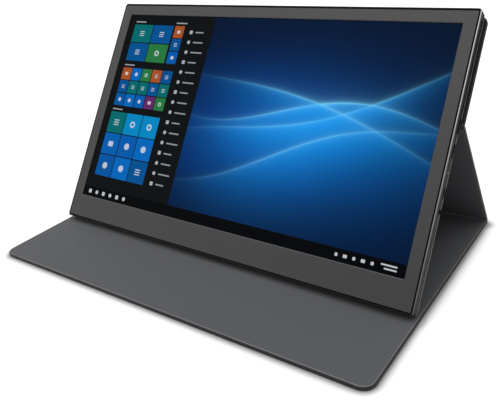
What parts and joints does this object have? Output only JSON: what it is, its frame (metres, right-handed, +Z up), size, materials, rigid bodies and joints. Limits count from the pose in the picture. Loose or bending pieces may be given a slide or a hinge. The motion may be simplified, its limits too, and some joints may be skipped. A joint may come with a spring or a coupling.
{
  "type": "portable monitor",
  "caption": "Slim portable monitor standing on its folding cover: front panel on the table, leaning kick panel behind, sockets on the right edge and keys on the left.",
  "frame": {"origin": "centre of the footprint on the table", "axes": "+X to the viewer's right along the screen, +Y away from the viewer, +Z up"},
  "size_m": [0.374, 0.2524, 0.1998],
  "materials": {
    "cover_leather": "pebbled, satin",
    "cover_lining": "brushed microfibre",
    "stiffener": "raw fibreboard",
    "magnet": "nickel plated",
    "steel_strip": "bright",
    "bond_film": "foam tape",
    "housing_plastic": "fine texture",
    "bezel_plastic": "satin",
    "edge_metal": "bright cut edge",
    "screen_glass": "gloss, lit picture behind",
    "display_layers": "film",
    "tray_metal": "pressed sheet",
    "circuit_board": "solder mask",
    "shield_tin": "tin plate",
    "cable_film": "film",
    "foam": "foam",
    "speaker_plastic": "moulded",
    "socket_metal": "plated",
    "socket_plastic": "moulded",
    "key_plastic": "satin",
    "screw_metal": "black zinc",
    "light_pipe": "frosted"
  },
  "bodies": {
    "front_panel": {"front_cover_skin": "cover_leather", "front_cover_board": "stiffener", "front_cover_liner": "cover_lining", "closing_magnets": "magnet", "stand_strips": "steel_strip"},
    "spine_strip": {"spine_skin": "cover_leather", "spine_board": "stiffener", "spine_liner": "cover_lining"},
    "kick_leg": {"kick_skin": "cover_leather", "kick_board": "stiffener", "kick_liner": "cover_lining", "kick_magnets": "magnet"},
    "display_unit": {"upper_skin": "cover_leather", "upper_board": "stiffener", "bonding_sheet": "bond_film", "rear_housing": "housing_plastic", "edge_trim": "edge_metal", "front_bezel": "bezel_plastic", "glass_gasket": "foam", "cover_glass": "screen_glass", "display_cell": "display_layers", "optical_sheets": "display_layers", "light_guide": "display_layers", "led_strip": "circuit_board", "reflector_sheet": "display_layers", "display_tray": "tray_metal", "main_board": "circuit_board", "shield_can": "shield_tin", "driver_board": "circuit_board", "flat_cable": "cable_film", "board_screws": "screw_metal", "key_board": "circuit_board", "key_switches": "socket_plastic", "speaker_left": "speaker_plastic", "speaker_right": "speaker_plastic", "edge_magnets": "magnet", "housing_screws": "screw_metal", "video_socket_upper": "socket_metal", "video_socket_lower": "socket_metal", "charge_socket": "socket_metal", "headphone_socket": "socket_plastic", "status_light_pipe": "light_pipe"},
    "power_button": {"power_key": "key_plastic"},
    "menu_button": {"menu_key": "key_plastic"},
    "plus_button": {"plus_key": "key_plastic"},
    "minus_button": {"minus_key": "key_plastic"}
  },
  "joints": [
    {"name": "front_cover_fold", "type": "hinge", "parent": "front_panel", "child": "spine_strip", "pos_m": [0, 0.10918, 0], "axis": [-1, 0, 0], "range_deg": [0, 150]},
    {"name": "stand_tilt", "type": "hinge", "parent": "spine_strip", "child": "kick_leg", "pos_m": [0, 0.12358, 0.0048], "axis": [1, 0, 0], "range_deg": [-20, 18]},
    {"name": "back_fold", "type": "hinge", "parent": "kick_leg", "child": "display_unit", "pos_m": [0, 0.0407, 0.12142], "axis": [1, 0, 0], "range_deg": [-36, 40]},
    {"name": "power_key_press", "type": "slide", "parent": "display_unit", "child": "power_button", "axis": [1, 0, 0], "range_m": [0, 0.0005], "stiffness_N_per_m": 900, "springref_m": -0.0003},
    {"name": "menu_key_press", "type": "slide", "parent": "display_unit", "child": "menu_button", "axis": [1, 0, 0], "range_m": [0, 0.0005], "stiffness_N_per_m": 900, "springref_m": -0.0003},
    {"name": "plus_key_press", "type": "slide", "parent": "display_unit", "child": "plus_button", "axis": [1, 0, 0], "range_m": [0, 0.0005], "stiffness_N_per_m": 900, "springref_m": -0.0003},
    {"name": "minus_key_press", "type": "slide", "parent": "display_unit", "child": "minus_button", "axis": [1, 0, 0], "range_m": [0, 0.0005], "stiffness_N_per_m": 900, "springref_m": -0.0003}
  ],
  "couplings": [
    {"joint": "back_fold", "follows": "stand_tilt", "ratio": -2}
  ]
}
